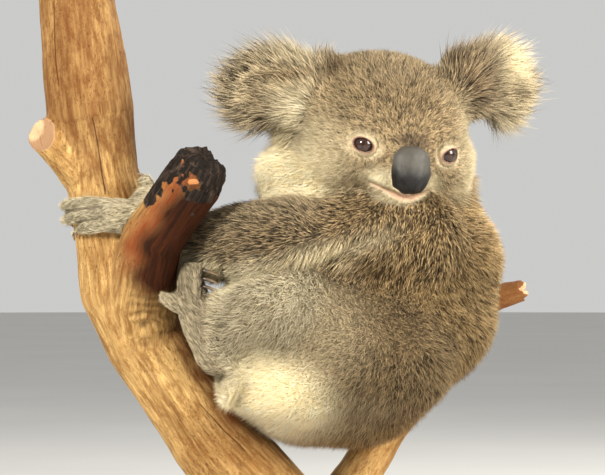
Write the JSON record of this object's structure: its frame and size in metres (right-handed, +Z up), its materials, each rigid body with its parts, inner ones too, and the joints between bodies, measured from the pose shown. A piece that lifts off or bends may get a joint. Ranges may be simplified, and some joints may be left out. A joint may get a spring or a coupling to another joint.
{
  "type": "koala",
  "caption": "Young koala clinging to a forked bare limb, head turned to one side, as a life-size still museum model on a plain display stand.",
  "frame": {"origin": "centre of the underside of the display stand's foot", "axes": "+Z up, -X the way the koala's body faces, towards the upright limb; its head looks along -Y and a little to +X"},
  "size_m": [0.3487, 0.22, 0.4524],
  "materials": {
    "grey_fur": "soft woolly fur, salt-and-pepper grey-brown",
    "nose_leather": "fine-grained bare skin, slightly moist",
    "eye": "wet and glossy",
    "claw": "smooth horn",
    "bare_wood": "weathered bare wood, charred at one broken stub",
    "stand_wood": "dark stained and satin lacquered",
    "stand_metal": "brushed"
  },
  "bodies": {
    "root": {"claw_foot_left_2": "claw", "claw_foot_left_3": "claw", "claw_foot_left_4": "claw", "claw_foot_left_5": "claw", "claw_foot_right_2": "claw", "claw_foot_right_3": "claw", "claw_foot_right_4": "claw", "claw_foot_right_5": "claw", "claw_hand_left_1": "claw", "claw_hand_left_2": "claw", "claw_hand_left_3": "claw", "claw_hand_left_4": "claw", "claw_hand_left_5": "claw", "claw_hand_right_1": "claw", "claw_hand_right_2": "claw", "claw_hand_right_3": "claw", "claw_hand_right_4": "claw", "claw_hand_right_5": "claw", "ear_left": "grey_fur", "ear_right": "grey_fur", "eye_left": "eye", "eye_right": "eye", "foot_left": "grey_fur", "foot_right": "grey_fur", "forearm_left": "grey_fur", "forearm_right": "grey_fur", "hand_left": "grey_fur", "hand_right": "grey_fur", "head": "grey_fur", "neck": "grey_fur", "nose": "nose_leather", "perch": "bare_wood", "shank_left": "grey_fur", "shank_right": "grey_fur", "stand_base": "stand_wood", "stand_rod": "stand_metal", "thigh_left": "grey_fur", "thigh_right": "grey_fur", "trunk": "grey_fur", "upper_arm_left": "grey_fur", "upper_arm_right": "grey_fur"}
  },
  "joints": []
}
